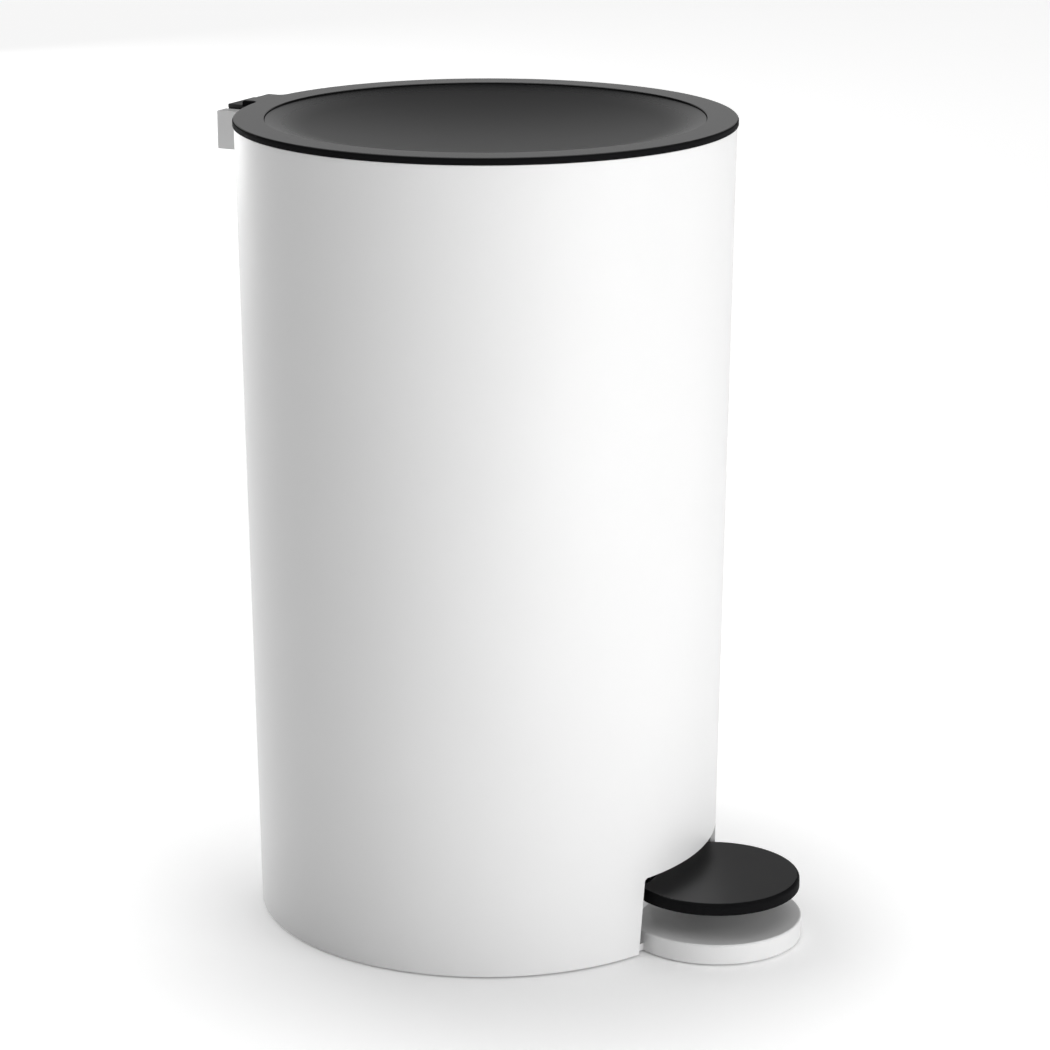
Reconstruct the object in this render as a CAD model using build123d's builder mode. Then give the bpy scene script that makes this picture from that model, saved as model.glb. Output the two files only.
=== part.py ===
from build123d import *
import os
from math import asin, cos, degrees, radians, sin, sqrt, tan

# Round kitchen pedal bin with a dished lid, in millimetres.
# +X points to the front with the pedal, +Z up, and the axis of the shell meets
# the floor at the origin. Pressing the pedal tips a steel lever, which lifts a
# flat push rod inside the rear wall, and the rod turns two crank arms on the lid.

# Overall
lid_diameter = 247.0
overall_height = 405.0
shell_base_diameter = 234.6
shell_wall = 2.5
floor_gap = 1.0  # shell and base stand this far above the floor, on rubber
seat_gap = 0.2  # between pieces that seat on a curved wall

# Lid
lid_edge = 3.3  # thickness of the flat rim
lid_rim_width = 15.5
lid_overhang = 0.7  # rim past the outer wall of the shell
lid_gap = 0.3  # rim above the top edge of the shell
lid_edge_round = 1.2
dish_depth = 10.0
dish_step = 0.8  # upright edge round the dish
dish_wall = 2.5
skirt_wall = 2.0
skirt_depth = 6.0
skirt_gap = 3.0  # skirt inside the mouth of the shell
tab_width = 25.0
tab_reach = 7.8  # tab past the edge of the lid
tab_blend = 3.0

# Lid hinge and crank
lid_opening = 72.0  # degrees
hinge_setback = 6.0  # axis behind the edge of the lid
hinge_drop = 12.0  # axis below the top of the lid
hinge_pin_diameter = 5.0
knuckle_radius = 8.0
knuckle_side_gap = 0.9
flap_drop = 2.4  # top of the knuckle's flap below the top of the lid
flap_length = 8.3
flap_thickness = 1.2
arm_plate_thickness = 3.0
arm_plate_inset = 0.5  # plate behind the edge of the dish
crank_reach = 16.5  # rod in front of the hinge axis
crank_thickness = 4.0
crank_side_gap = 1.0  # beside the rod's eye
crank_rim = 2.2  # material round the crank's slot
crank_slot_play = 0.85  # each side of the rod's pin

# Hinge bracket
bracket_width = 42.0
bracket_reach = 18.2  # rear face behind the edge of the lid
bracket_height = 19.2
bracket_top_drop = 4.6  # below the top of the lid
bracket_toe = 9.3  # toe on the wall below the block
bracket_web = 2.2
bracket_round = 1.5
pin_skin = 1.5  # closed end of the pin's bore

# Fits
fixed_fit = 0.02  # radial, pieces that stay put
running_fit = 0.06  # radial, pieces that turn

# Push rod and its cover
rod_width = 10.0
rod_thickness = 3.0
rod_eye_wall = 1.8
rod_pin_diameter = 4.0
rod_pin_overhang = 1.2
rod_side_gap = 0.4
rod_face_gap = 0.5
cover_wall = 1.5
cover_foot = 7.0
cover_bottom = 62.0
cover_gap = 23.0  # top of the cover below the rod's upper pin

# Pedal, lever and axle
pedal_diameter = 86.0
pedal_outreach = 10.5  # pedal's centre outside the foot of the shell
pedal_thickness = 6.0
pedal_underside = 26.0
pedal_edge_round = 2.0
pedal_setback = 25.0  # straight rear edge behind the centre
pedal_blend = 5.0
pedal_rim = 3.0
pedal_pocket = 3.0
pedal_rib = 2.0
pedal_tail = 24.0  # behind the axle
axle_setback = 26.3  # behind the rear face of the bay
axle_height = 19.0
axle_diameter = 6.0
axle_chamfer = 0.5
lever_width = 22.0
lever_sheet = 1.5
lever_front_gap = 6.3  # behind the rear face of the bay
lever_front_depth = 9.0
lever_depth = 13.6
lever_rear_depth = 10.4
lever_rear_drop = 6.4  # web at the rear end below the pedal's underside
lever_end = 5.4  # past the rod's pin
lever_end_round = 4.0
lever_fork = 16.0  # open length behind the web
lever_pin_height = 13.8
lever_slot_play = 0.25
lever_slot_travel = 1.7
bush_wall = 1.45
bush_flange = 1.0
bush_flange_radius = 6.5
bush_side_gap = 0.1
clip_radius = 6.0
clip_thickness = 1.2

# Base and foot
base_floor = 3.5
base_gap = 0.4  # round the base, inside the shell
foot_diameter = 88.8
foot_top = 10.9
foot_wall = 2.5
foot_edge_round = 1.0
foot_inset = 12.0  # hollow of the foot starts outside this band of the base
ear_thickness = 4.0
ear_radius = 7.0
ear_foot = 34.0
ear_side_gap = 0.2
bay_wall = 2.5
bay_depth = 25.0  # from the foot of the shell to the bay's rear face
bay_margin = 0.5
bay_headroom = 2.3
tail_gap = 1.2
tail_drop = 6.0  # tail slot below the pedal's underside
ring_inset = 6.2  # ring inside the heads of the base screws
ring_width = 8.0
ring_thickness = 3.0
foot_pad_diameter = 30.0
foot_pad_outreach = 28.0
foot_pad_boss_wall = 3.0

# Notch for the pedal
notch_height = 40.5
notch_base_width = 92.0
notch_top_width = 86.4
notch_round = 2.0

# Ledge in the shell and the bucket that hangs on it
ledge_drop = 12.9  # below the top edge of the shell
ledge_depth = 5.5
ledge_thickness = 2.5
ledge_opening = 48.0
mouth_round = 0.8
bucket_draft = 0.23  # degrees, more than the taper of the shell
bucket_bottom = 58.0
bucket_wall = 2.0
bucket_collar = 7.0  # raised rim above the flange, to lift the bucket by
bucket_flange = 2.5
bucket_flange_width = 14.4
bucket_flange_gap = 1.0
bucket_floor_round = 8.0
bucket_crank_gap = 2.3

# Screws and rubber studs
screw_radius = 1.6
screw_head_radius = 3.4
screw_head = 1.9
screw_clearance = 0.15
base_screw_length = 15.0
pedal_screw_length = 6.0
pedal_screw_spacing = 28.0
lid_screw_length = 5.6
lid_screw_spacing = 14.0
lid_screw_inset = 4.5
hinge_screw_length = 11.0
hinge_screw_drop = 8.0  # below the hinge axis
boss_radius = 4.5
boss_height = 18.0
boss_web = 3.0
boss_inset = 5.0
buffer_radius = 3.5
buffer_stem_radius = 1.8
buffer_stem = 1.8
buffer_gap = 0.3
buffer_round = 1.2
stop_radius = 6.0
stop_outreach = 33.0
stop_height = 2.6
stop_round = 0.9

# Places worked out from the sizes above
lid_radius = lid_diameter / 2
lid_underside = overall_height - lid_edge
dish_radius = lid_radius - lid_rim_width
shell_top = lid_underside - lid_gap
shell_top_radius = lid_radius - lid_overhang
shell_base_radius = shell_base_diameter / 2
ledge_top = shell_top - ledge_drop
shell_slope = (shell_top_radius - shell_base_radius) / (shell_top - floor_gap)
hinge_x = -lid_radius - hinge_setback
hinge_z = overall_height - hinge_drop
half_opening = lid_opening / 2
arm_plate_length = hinge_setback + lid_rim_width - arm_plate_inset
knuckle_width = tab_width
knuckle_slot_width = knuckle_width + 2 * knuckle_side_gap
rod_pin_radius = rod_pin_diameter / 2
rod_top_x = hinge_x + crank_reach
rod_top_z = hinge_z - crank_reach * tan(radians(half_opening))
rod_foot_z = lever_pin_height
pedal_x = shell_base_radius + pedal_outreach
pedal_top = pedal_underside + pedal_thickness
base_top = floor_gap + base_floor
axle_radius = axle_diameter / 2
lever_half = lever_width / 2
crank_inner = rod_width / 2 + crank_side_gap
crank_slot_width = rod_pin_diameter + 2 * crank_slot_play
crank_width = crank_slot_width + 2 * crank_rim
crank_length = crank_reach / cos(radians(half_opening))
bracket_top = overall_height - bracket_top_drop
bracket_low = bracket_top - bracket_height
window_sill = bracket_low - bracket_toe + bracket_web
ear_inner = lever_half + bush_side_gap + bush_flange + ear_side_gap
bay_half = notch_base_width / 2 + bay_margin
bay_rear = shell_base_radius - bay_depth
axle_distance = bay_rear - axle_setback
pedal_tail_end = axle_distance - pedal_tail
lever_front = bay_rear - lever_front_gap
boss_circle = shell_base_radius - shell_wall - boss_inset
boss_angle = 45.0
ring_radius = boss_circle - screw_head_radius - screw_clearance - ring_inset


def shell_inside(z):
    """Inner radius of the tapered shell at height z."""
    return shell_base_radius - shell_wall + shell_slope * (z - floor_gap)


def rod_x(z):
    """The push rod leans with the rear wall: its X at height z."""
    return rod_top_x + shell_slope * (rod_top_z - z)


rod_foot = Vector(rod_x(rod_foot_z), 0, rod_foot_z)
rod_top = Vector(rod_top_x, 0, rod_top_z)
rod_direction = (rod_top - rod_foot).normalized()
rod_length = (rod_top - rod_foot).length
buffer_circle = (lid_radius - skirt_gap - lid_overhang - shell_wall - skirt_wall + dish_radius) / 2

os.makedirs("parts", exist_ok=True)


# Outer shell: tapered wall, open below, with the pedal notch at the front foot,
# a window for the hinge at the rear rim, a ledge for the bucket and screw bosses.
with BuildPart() as outer_body:
    with BuildSketch(Plane.XZ):
        with BuildLine():
            Polyline(
                (shell_base_radius, floor_gap),
                (shell_top_radius, shell_top),
                (shell_inside(shell_top), shell_top),
                (shell_inside(floor_gap), floor_gap),
                close=True,
            )
        make_face()
    revolve(axis=Axis.Z)
    fillet(outer_body.edges().group_by(Axis.Z)[-1], mouth_round)
    ledge_radius = shell_inside(ledge_top)
    ledge_root = ledge_radius + shell_wall / 2
    ledge_toe = ledge_top - ledge_thickness - ledge_depth - shell_wall / 2
    ledge_end = 180 - degrees(asin(ledge_opening / 2 / ledge_radius))
    ledge_start = Vector(1, 0, 0).rotate(Axis.Z, -ledge_end)
    with BuildSketch(Plane(origin=(0, 0, 0), x_dir=ledge_start, z_dir=ledge_start.cross(Vector(0, 0, 1)))):
        with BuildLine():
            Polyline(
                (ledge_root, ledge_top),
                (ledge_radius - ledge_depth, ledge_top),
                (ledge_radius - ledge_depth, ledge_top - ledge_thickness),
                (ledge_root, ledge_toe),
                close=True,
            )
        make_face()
    revolve(axis=Axis.Z, revolution_arc=2 * ledge_end)
    with BuildSketch(Plane.XY.offset(base_top)):
        with PolarLocations(boss_circle, 4, start_angle=boss_angle):
            Circle(boss_radius)
        web_length = boss_inset + shell_wall / 2
        with PolarLocations(boss_circle + web_length / 2, 4, start_angle=boss_angle):
            Rectangle(web_length, boss_web)
    extrude(amount=boss_height)
    with BuildSketch(Plane.XY.offset(base_top)):
        with PolarLocations(boss_circle, 4, start_angle=boss_angle):
            Circle(screw_radius + fixed_fit)
    extrude(amount=base_screw_length, mode=Mode.SUBTRACT)
    with BuildSketch(Plane.YZ) as notch:
        with BuildLine():
            Polyline(
                (-notch_base_width / 2, 0),
                (-notch_top_width / 2, notch_height),
                (notch_top_width / 2, notch_height),
                (notch_base_width / 2, 0),
                close=True,
            )
        make_face()
        fillet(notch.vertices().group_by(Axis.Y)[-1], notch_round)
    extrude(amount=lid_diameter, mode=Mode.SUBTRACT)
    with BuildSketch(Plane.YZ):
        with Locations((0, (window_sill + overall_height) / 2)):
            Rectangle(knuckle_slot_width, overall_height - window_sill)
    extrude(amount=-lid_diameter, mode=Mode.SUBTRACT)
    hinge_screw_z = hinge_z - hinge_screw_drop
    hinge_screw_y = (knuckle_slot_width + bracket_width) / 4
    hinge_screw_wall = shell_inside(hinge_screw_z)
    hinge_screw_planes = []
    for side in (-1, 1):
        screw_angle = asin(side * hinge_screw_y / hinge_screw_wall)
        outward = Vector(-cos(screw_angle), sin(screw_angle), 0)
        seat = outward * hinge_screw_wall + Vector(0, 0, hinge_screw_z)
        hinge_screw_planes.append(Plane(origin=seat, z_dir=outward))
    with Locations(*hinge_screw_planes):
        Cylinder(screw_radius + screw_clearance, 4 * shell_wall, mode=Mode.SUBTRACT)
outer_body.part.label = "outer_body"
export_step(outer_body.part, "parts/outer_body.step")


# Lid: flat rim with a rear tab, shallow dish, and a skirt that centres it in the mouth.
dish_bottom = overall_height - dish_depth
dish_edge = overall_height - dish_step
bowl_depth = dish_edge - dish_bottom
dish_sphere = (dish_radius**2 + bowl_depth**2) / (2 * bowl_depth)
under_depth = lid_underside - dish_bottom + dish_wall
under_sphere = (dish_radius**2 + under_depth**2) / (2 * under_depth)
half_dish = dish_radius / 2
dish_middle = dish_bottom + dish_sphere - sqrt(dish_sphere**2 - half_dish**2)
under_middle = dish_bottom - dish_wall + under_sphere - sqrt(under_sphere**2 - half_dish**2)
skirt_radius = shell_inside(shell_top) - skirt_gap
tab_end = -lid_radius - tab_reach
lid_screw_x = hinge_x + arm_plate_length - lid_screw_inset
with BuildPart() as lid:
    with BuildSketch(Plane.XY.offset(lid_underside)) as lid_outline:
        Circle(lid_radius)
        with Locations((tab_end / 2, 0)):
            Rectangle(-tab_end, tab_width)
        tab_roots = lid_outline.vertices().filter_by(lambda v: tab_end + tab_reach / 2 < v.X < 0)
        fillet(tab_roots, tab_blend)
    extrude(amount=lid_edge)
    fillet(lid.edges().group_by(Axis.Z)[-1], lid_edge_round)
    with BuildSketch(Plane.XZ):
        with BuildLine():
            Line((0, dish_bottom - dish_wall), (0, overall_height))
            Line((0, overall_height), (dish_radius, overall_height))
            Line((dish_radius, overall_height), (dish_radius, lid_underside))
            ThreePointArc(
                (dish_radius, lid_underside),
                (half_dish, under_middle),
                (0, dish_bottom - dish_wall),
            )
        make_face()
    revolve(axis=Axis.Z)
    with BuildSketch(Plane.XZ):
        with BuildLine():
            Line((0, dish_bottom), (0, overall_height))
            Line((0, overall_height), (dish_radius, overall_height))
            Line((dish_radius, overall_height), (dish_radius, dish_edge))
            ThreePointArc((dish_radius, dish_edge), (half_dish, dish_middle), (0, dish_bottom))
        make_face()
    revolve(axis=Axis.Z, mode=Mode.SUBTRACT)
    with BuildSketch(Plane.XY.offset(lid_underside - skirt_depth)):
        Circle(skirt_radius)
        Circle(skirt_radius - skirt_wall, mode=Mode.SUBTRACT)
        with Locations((hinge_x, 0)):
            Rectangle(2 * arm_plate_length, knuckle_slot_width, mode=Mode.SUBTRACT)
    extrude(amount=skirt_depth)
    with BuildSketch(Plane.XY.offset(lid_underside)):
        with Locations((lid_screw_x, 0)):
            with GridLocations(0, lid_screw_spacing, 1, 2):
                Circle(screw_radius + fixed_fit)
    extrude(amount=lid_screw_length - arm_plate_thickness, mode=Mode.SUBTRACT)
    with BuildSketch(Plane.XY.offset(lid_underside)):
        with PolarLocations(buffer_circle, 3):
            Circle(buffer_stem_radius + fixed_fit)
    extrude(amount=buffer_stem, mode=Mode.SUBTRACT)
lid.part.label = "lid"
export_step(lid.part, "parts/lid.step")


# Hinge arm: screwed under the lid, with the knuckle on the hinge pin, a flap that
# covers the bracket's slot, and two slotted crank arms that reach into the shell.
with BuildPart() as lid_hinge_arm:
    with BuildSketch(Plane.XZ):
        with Locations((hinge_x, hinge_z)):
            Circle(knuckle_radius)
        flap_top = overall_height - flap_drop
        flap_end = tab_end - flap_length
        with BuildLine():
            Polyline(
                (hinge_x, hinge_z),
                (hinge_x - knuckle_radius, hinge_z),
                (flap_end, flap_top - flap_thickness),
                (flap_end, flap_top),
                (tab_end, flap_top),
                (tab_end, lid_underside),
                (hinge_x + knuckle_radius, lid_underside),
                (hinge_x + knuckle_radius, hinge_z),
                close=True,
            )
        make_face()
        plate_middle = hinge_x + arm_plate_length / 2
        with Locations((plate_middle, lid_underside - arm_plate_thickness / 2)):
            Rectangle(arm_plate_length, arm_plate_thickness)
        with Locations((tab_end, lid_underside)):
            Rectangle(lid_radius, lid_edge, align=(Align.MIN, Align.MIN), mode=Mode.SUBTRACT)
    extrude(amount=knuckle_width / 2, both=True)
    with BuildSketch(Plane.XZ):
        with Locations((hinge_x, hinge_z)):
            with Locations(Rotation(0, 0, -half_opening)):
                with Locations((crank_length / 2, 0)):
                    SlotCenterToCenter(crank_length, crank_width)
    extrude(amount=crank_inner + crank_thickness, both=True)
    with BuildSketch(Plane.XZ):
        with Locations((hinge_x, hinge_z)):
            with Locations(Rotation(0, 0, -half_opening)):
                with Locations((knuckle_radius + crank_length, 0)):
                    Rectangle(2 * crank_length, 2 * crank_width)
    extrude(amount=crank_inner, both=True, mode=Mode.SUBTRACT)
    with BuildSketch(Plane.XZ):
        with Locations((hinge_x, hinge_z)):
            Circle(hinge_pin_diameter / 2 + running_fit)
            with Locations(Rotation(0, 0, -half_opening)):
                with Locations(((crank_reach + crank_length) / 2, 0)):
                    SlotCenterToCenter(crank_length - crank_reach + crank_slot_play, crank_slot_width)
    extrude(amount=bracket_width, both=True, mode=Mode.SUBTRACT)
    with BuildSketch(Plane.XY.offset(lid_underside - arm_plate_thickness)):
        with Locations((lid_screw_x, 0)):
            with GridLocations(0, lid_screw_spacing, 1, 2):
                Circle(screw_radius + screw_clearance)
    extrude(amount=arm_plate_thickness, mode=Mode.SUBTRACT)
lid_hinge_arm.part.label = "lid_hinge_arm"
export_step(lid_hinge_arm.part, "parts/lid_hinge_arm.step")


# Two screws that hold the hinge arm under the lid.
lid_screw_seat = lid_underside - arm_plate_thickness
with BuildPart() as lid_screws:
    with BuildSketch(Plane.XY.offset(lid_screw_seat)):
        with Locations((lid_screw_x, 0)):
            with GridLocations(0, lid_screw_spacing, 1, 2):
                Circle(screw_head_radius)
    extrude(amount=-screw_head)
    with BuildSketch(Plane.XY.offset(lid_screw_seat)):
        with Locations((lid_screw_x, 0)):
            with GridLocations(0, lid_screw_spacing, 1, 2):
                Circle(screw_radius)
    extrude(amount=lid_screw_length)
lid_screws.part.label = "lid_screws"
export_step(lid_screws.part, "parts/lid_screws.step")


# Three rubber studs under the rim; the closed lid comes down on the bucket's flange.
buffer_bottom = ledge_top + bucket_flange + buffer_gap
with BuildPart() as lid_buffers:
    with BuildSketch(Plane.XY.offset(buffer_bottom)):
        with PolarLocations(buffer_circle, 3):
            Circle(buffer_radius)
    extrude(amount=lid_underside - buffer_bottom)
    fillet(lid_buffers.edges().group_by(Axis.Z)[0], buffer_round)
    with BuildSketch(Plane.XY.offset(lid_underside)):
        with PolarLocations(buffer_circle, 3):
            Circle(buffer_stem_radius)
    extrude(amount=buffer_stem)
lid_buffers.part.label = "lid_buffers"
export_step(lid_buffers.part, "parts/lid_buffers.step")


# Hinge bracket: a block with two cheeks behind the rim, its toe closing the window.
bracket_rear = -lid_radius - bracket_reach
shell_skin = shell_wall + seat_gap
with BuildPart() as hinge_bracket:
    with BuildSketch(Plane.XZ):
        with BuildLine():
            Polyline(
                (hinge_x + knuckle_radius, bracket_top),
                (bracket_rear, bracket_top),
                (bracket_rear, bracket_low),
                (hinge_x, bracket_low),
                (hinge_x + knuckle_radius, bracket_low - bracket_toe),
                close=True,
            )
        make_face()
    extrude(amount=bracket_width / 2, both=True)
    fillet(hinge_bracket.faces().sort_by(Axis.X)[0].edges(), bracket_round)
    with BuildSketch(Plane.XZ):
        with BuildLine():
            Polyline(
                (hinge_x + knuckle_radius, overall_height),
                (bracket_rear - bracket_web, overall_height),
                (bracket_rear - bracket_web, bracket_low + bracket_web),
                (hinge_x, bracket_low + bracket_web),
                (hinge_x + knuckle_radius, bracket_low - bracket_toe + bracket_web),
                close=True,
            )
        make_face()
    extrude(amount=knuckle_slot_width / 2, both=True, mode=Mode.SUBTRACT)
    with BuildSketch(Plane.XZ):
        with BuildLine():
            Polyline(
                (0, floor_gap),
                (shell_inside(floor_gap) + shell_skin, floor_gap),
                (shell_inside(overall_height) + shell_skin, overall_height),
                (0, overall_height),
                close=True,
            )
        make_face()
    revolve(axis=Axis.Z, mode=Mode.SUBTRACT)
    with BuildSketch(Plane.XZ.offset(bracket_width / 2 - pin_skin)):
        with Locations((hinge_x, hinge_z)):
            Circle(hinge_pin_diameter / 2 + fixed_fit)
    extrude(amount=-bracket_width, mode=Mode.SUBTRACT)
    with Locations(*hinge_screw_planes):
        Cylinder(screw_radius + fixed_fit, 2 * hinge_screw_length, mode=Mode.SUBTRACT)
hinge_bracket.part.label = "hinge_bracket"
export_step(hinge_bracket.part, "parts/hinge_bracket.step")


# Two screws through the rear wall into the cheeks, heads inside the shell.
with BuildPart() as hinge_screws:
    with Locations(*[plane.offset(-seat_gap) for plane in hinge_screw_planes]):
        Cylinder(screw_head_radius, screw_head, align=(Align.CENTER, Align.CENTER, Align.MAX))
        Cylinder(screw_radius, hinge_screw_length, align=(Align.CENTER, Align.CENTER, Align.MIN))
hinge_screws.part.label = "hinge_screws"
export_step(hinge_screws.part, "parts/hinge_screws.step")


# Steel hinge pin, slid in from the left cheek.
with BuildPart() as hinge_pin:
    with BuildSketch(Plane.XZ.offset(bracket_width / 2 - pin_skin)):
        with Locations((hinge_x, hinge_z)):
            Circle(hinge_pin_diameter / 2)
    extrude(amount=-(bracket_width - 2 * pin_skin))
hinge_pin.part.label = "hinge_pin"
export_step(hinge_pin.part, "parts/hinge_pin.step")


# Push rod: a flat steel strip with a rolled eye for a cross pin at each end.
rod_middle = (rod_foot + rod_top) * 0.5
rod_face = Plane(origin=rod_middle, x_dir=rod_direction, z_dir=rod_direction.cross(Vector(0, 1, 0)))
with BuildPart() as push_rod:
    with BuildSketch(rod_face):
        Rectangle(rod_length, rod_width)
    extrude(amount=rod_thickness / 2, both=True)
    with BuildSketch(Plane.XZ):
        with Locations((rod_foot.X, rod_foot.Z), (rod_top.X, rod_top.Z)):
            Circle(rod_pin_radius + rod_eye_wall)
    extrude(amount=rod_width / 2, both=True)
    with BuildSketch(Plane.XZ):
        with Locations((rod_foot.X, rod_foot.Z), (rod_top.X, rod_top.Z)):
            Circle(rod_pin_radius + fixed_fit)
    extrude(amount=rod_width, both=True, mode=Mode.SUBTRACT)
push_rod.part.label = "push_rod"
export_step(push_rod.part, "parts/push_rod.step")


# Cross pins in the rod's eyes: the lower one in the lever's fork, the upper one in the cranks.
with BuildPart() as rod_pins:
    with BuildSketch(Plane.XZ):
        with Locations((rod_foot.X, rod_foot.Z)):
            Circle(rod_pin_radius)
    extrude(amount=lever_half + rod_pin_overhang, both=True)
    with BuildSketch(Plane.XZ):
        with Locations((rod_top.X, rod_top.Z)):
            Circle(rod_pin_radius)
    extrude(amount=crank_inner + crank_thickness + rod_pin_overhang, both=True)
rod_pins.part.label = "rod_pins"
export_step(rod_pins.part, "parts/rod_pins.step")


# Rod cover: a hat-shaped strip welded to the rear wall, in which the rod slides.
cover_inner = rod_width / 2 + rod_side_gap
cover_outer = cover_inner + cover_wall
cover_half = cover_outer + cover_foot
cover_face = -rod_thickness / 2 - rod_face_gap
cover_wall_radius = shell_inside(cover_bottom)
wall_sagitta = cover_wall_radius - sqrt(cover_wall_radius**2 - cover_half**2)
cover_seat = cover_wall_radius + rod_x(cover_bottom) - wall_sagitta - seat_gap
cover_plane = Plane(origin=(rod_x(cover_bottom), 0, cover_bottom), x_dir=(0, 1, 0), z_dir=rod_direction)
with BuildPart() as rod_cover:
    with BuildSketch(cover_plane):
        with BuildLine():
            Polyline(
                (-cover_half, cover_seat),
                (-cover_half, cover_seat - cover_wall),
                (-cover_outer, cover_seat - cover_wall),
                (-cover_outer, cover_face - cover_wall),
                (cover_outer, cover_face - cover_wall),
                (cover_outer, cover_seat - cover_wall),
                (cover_half, cover_seat - cover_wall),
                (cover_half, cover_seat),
                (cover_inner, cover_seat),
                (cover_inner, cover_face),
                (-cover_inner, cover_face),
                (-cover_inner, cover_seat),
                close=True,
            )
        make_face()
    extrude(amount=(rod_top_z - cover_gap - cover_bottom) / rod_direction.Z)
rod_cover.part.label = "rod_cover"
export_step(rod_cover.part, "parts/rod_cover.step")


# Base: floor of the bin with the round front foot, the closed bay behind the
# notch, two ears for the pedal's axle and a groove for the rubber ring.
base_radius = shell_inside(floor_gap) - base_gap
foot_radius = foot_diameter / 2
foot_pad_x = shell_base_radius + foot_pad_outreach
foot_pad_radius = foot_pad_diameter / 2
foot_hollow_x = shell_base_radius - foot_inset + foot_wall
bay_roof = notch_height + bay_headroom
with BuildPart() as base_plate:
    with BuildSketch(Plane.XY.offset(floor_gap)):
        Circle(base_radius)
    extrude(amount=base_floor)
    with BuildSketch(Plane.XY.offset(base_top)):
        with Locations((bay_rear, 0)):
            Rectangle(base_radius, 2 * (bay_half + bay_wall), align=(Align.MIN, Align.CENTER))
        Circle(base_radius, mode=Mode.INTERSECT)
    extrude(amount=bay_roof + bay_wall - base_top)
    with BuildSketch(Plane.XY.offset(base_top)):
        with Locations((bay_rear + bay_wall, 0)):
            Rectangle(base_radius, 2 * bay_half, align=(Align.MIN, Align.CENTER))
    extrude(amount=bay_roof - base_top, mode=Mode.SUBTRACT)
    with BuildSketch(Plane.YZ.offset(bay_rear)):
        tail_slot_low = pedal_underside - tail_drop
        tail_slot_high = pedal_top + tail_gap
        with Locations((0, (tail_slot_low + tail_slot_high) / 2)):
            Rectangle(lever_width + 2 * tail_gap, tail_slot_high - tail_slot_low)
    extrude(amount=bay_wall, mode=Mode.SUBTRACT)
    with BuildSketch(Plane.XY.offset(floor_gap)):
        with Locations((pedal_x, 0)):
            Circle(foot_radius)
        with Locations((bay_rear + bay_wall, 0)):
            Rectangle(foot_diameter, foot_diameter, align=(Align.MAX, Align.CENTER), mode=Mode.SUBTRACT)
    extrude(amount=foot_top - floor_gap)
    foot_rim = base_plate.edges().filter_by(GeomType.CIRCLE).filter_by(
        lambda e: abs(e.center().Z - foot_top) < fixed_fit and abs(e.radius - foot_radius) < fixed_fit
    )
    fillet(foot_rim, foot_edge_round)
    with BuildSketch(Plane.XY.offset(floor_gap)):
        with Locations((pedal_x, 0)):
            Circle(foot_radius - foot_wall)
        with Locations((foot_hollow_x, 0)):
            Rectangle(foot_diameter, foot_diameter, align=(Align.MAX, Align.CENTER), mode=Mode.SUBTRACT)
        with Locations((foot_pad_x, 0)):
            Circle(foot_pad_radius + foot_pad_boss_wall, mode=Mode.SUBTRACT)
    extrude(amount=foot_top - foot_wall - floor_gap, mode=Mode.SUBTRACT)
    with BuildSketch(Plane.XY.offset(floor_gap)):
        with Locations((foot_pad_x, 0)):
            Circle(foot_pad_radius + fixed_fit)
        Circle(ring_radius + fixed_fit)
        Circle(ring_radius - ring_width - fixed_fit, mode=Mode.SUBTRACT)
    extrude(amount=ring_thickness - floor_gap, mode=Mode.SUBTRACT)
    for side in (-1, 1):
        ear_face = side * (ear_inner + ear_thickness / 2)
        with BuildSketch(Plane.XZ.offset(ear_face)):
            with BuildLine():
                Polyline(
                    (axle_distance - ear_foot / 2, base_top),
                    (axle_distance - ear_radius, axle_height),
                    (axle_distance + ear_radius, axle_height),
                    (axle_distance + ear_foot / 2, base_top),
                    close=True,
                )
            make_face()
            with Locations((axle_distance, axle_height)):
                Circle(ear_radius)
        extrude(amount=ear_thickness / 2, both=True)
    with BuildSketch(Plane.XZ):
        with Locations((axle_distance, axle_height)):
            Circle(axle_radius + fixed_fit)
    extrude(amount=ear_inner + ear_thickness, both=True, mode=Mode.SUBTRACT)
    with BuildSketch(Plane.XY.offset(floor_gap)):
        with PolarLocations(boss_circle, 4, start_angle=boss_angle):
            Circle(screw_radius + screw_clearance)
    extrude(amount=base_floor, mode=Mode.SUBTRACT)
    with BuildSketch(Plane.XY.offset(floor_gap)):
        with PolarLocations(boss_circle, 4, start_angle=boss_angle):
            Circle(screw_head_radius + screw_clearance)
    extrude(amount=screw_head, mode=Mode.SUBTRACT)
base_plate.part.label = "base_plate"
export_step(base_plate.part, "parts/base_plate.step")


# Four screws from below through the base into the bosses of the shell.
with BuildPart() as base_screws:
    with BuildSketch(Plane.XY.offset(floor_gap)):
        with PolarLocations(boss_circle, 4, start_angle=boss_angle):
            Circle(screw_head_radius)
    extrude(amount=screw_head)
    with BuildSketch(Plane.XY.offset(floor_gap)):
        with PolarLocations(boss_circle, 4, start_angle=boss_angle):
            Circle(screw_radius)
    extrude(amount=base_screw_length)
base_screws.part.label = "base_screws"
export_step(base_screws.part, "parts/base_screws.step")


# Rubber ring in the base's groove; the bin stands on it.
with BuildPart() as base_ring:
    with BuildSketch():
        Circle(ring_radius)
        Circle(ring_radius - ring_width, mode=Mode.SUBTRACT)
    extrude(amount=ring_thickness)
base_ring.part.label = "base_ring"
export_step(base_ring.part, "parts/base_ring.step")


# Rubber pad under the front foot.
with BuildPart() as foot_pad:
    with BuildSketch():
        with Locations((foot_pad_x, 0)):
            Circle(foot_pad_radius)
    extrude(amount=ring_thickness)
foot_pad.part.label = "foot_pad"
export_step(foot_pad.part, "parts/foot_pad.step")


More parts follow.
